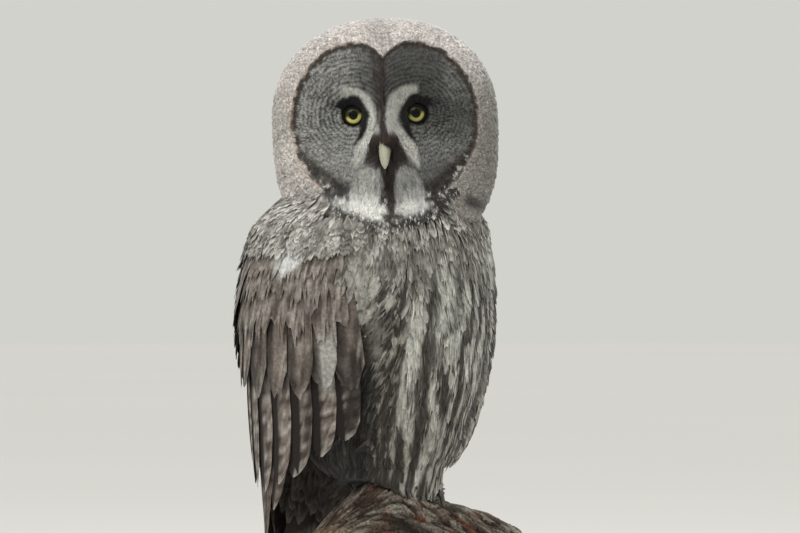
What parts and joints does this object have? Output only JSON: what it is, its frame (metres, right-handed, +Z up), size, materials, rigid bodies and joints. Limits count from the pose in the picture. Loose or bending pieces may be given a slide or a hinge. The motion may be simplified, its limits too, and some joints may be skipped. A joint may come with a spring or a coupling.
{
  "type": "great grey owl display model",
  "caption": "Life-size still model of a perched great grey owl, body turned aside and round face to the front, on a cut log held over a round plinth.",
  "frame": {"origin": "centre of the plinth's underside", "axes": "+Z up; the face looks along -Y, and the breast is turned 45 degrees from it, towards +X"},
  "size_m": [0.3, 0.3, 0.6593],
  "materials": {
    "face_plumage": "soft, matt grey feathers with fine darker rings",
    "body_plumage": "soft, matt grey feathers with dark brown streaks",
    "wing_plumage": "matt brown-grey feathers with pale bars",
    "tail_plumage": "matt dark brown feathers with pale mottled bars",
    "leg_plumage": "short, matt grey down",
    "horn": "satin ivory-yellow horn",
    "claw_horn": "glossy black horn",
    "iris_yellow": "clear, wet yellow eye with a black pupil",
    "lid_skin": "dark, bare skin",
    "bark": "rough, furrowed bark",
    "plinth_wood": "dark, satin varnished wood",
    "rod_steel": "dark brushed steel"
  },
  "bodies": {
    "root": {"bill_lower": "horn", "bill_upper": "horn", "claw_left_hind": "claw_horn", "claw_left_inner": "claw_horn", "claw_left_middle": "claw_horn", "claw_left_outer": "claw_horn", "claw_right_hind": "claw_horn", "claw_right_inner": "claw_horn", "claw_right_middle": "claw_horn", "claw_right_outer": "claw_horn", "eye_left": "iris_yellow", "eye_right": "iris_yellow", "eyelids_left": "lid_skin", "eyelids_right": "lid_skin", "foot_left": "leg_plumage", "foot_right": "leg_plumage", "head": "face_plumage", "leg_left": "leg_plumage", "leg_right": "leg_plumage", "neck": "body_plumage", "perch": "bark", "stand_plinth": "plinth_wood", "stand_rod_left": "rod_steel", "stand_rod_right": "rod_steel", "tail": "tail_plumage", "torso": "body_plumage", "wing_left": "wing_plumage", "wing_right": "wing_plumage"}
  },
  "joints": []
}
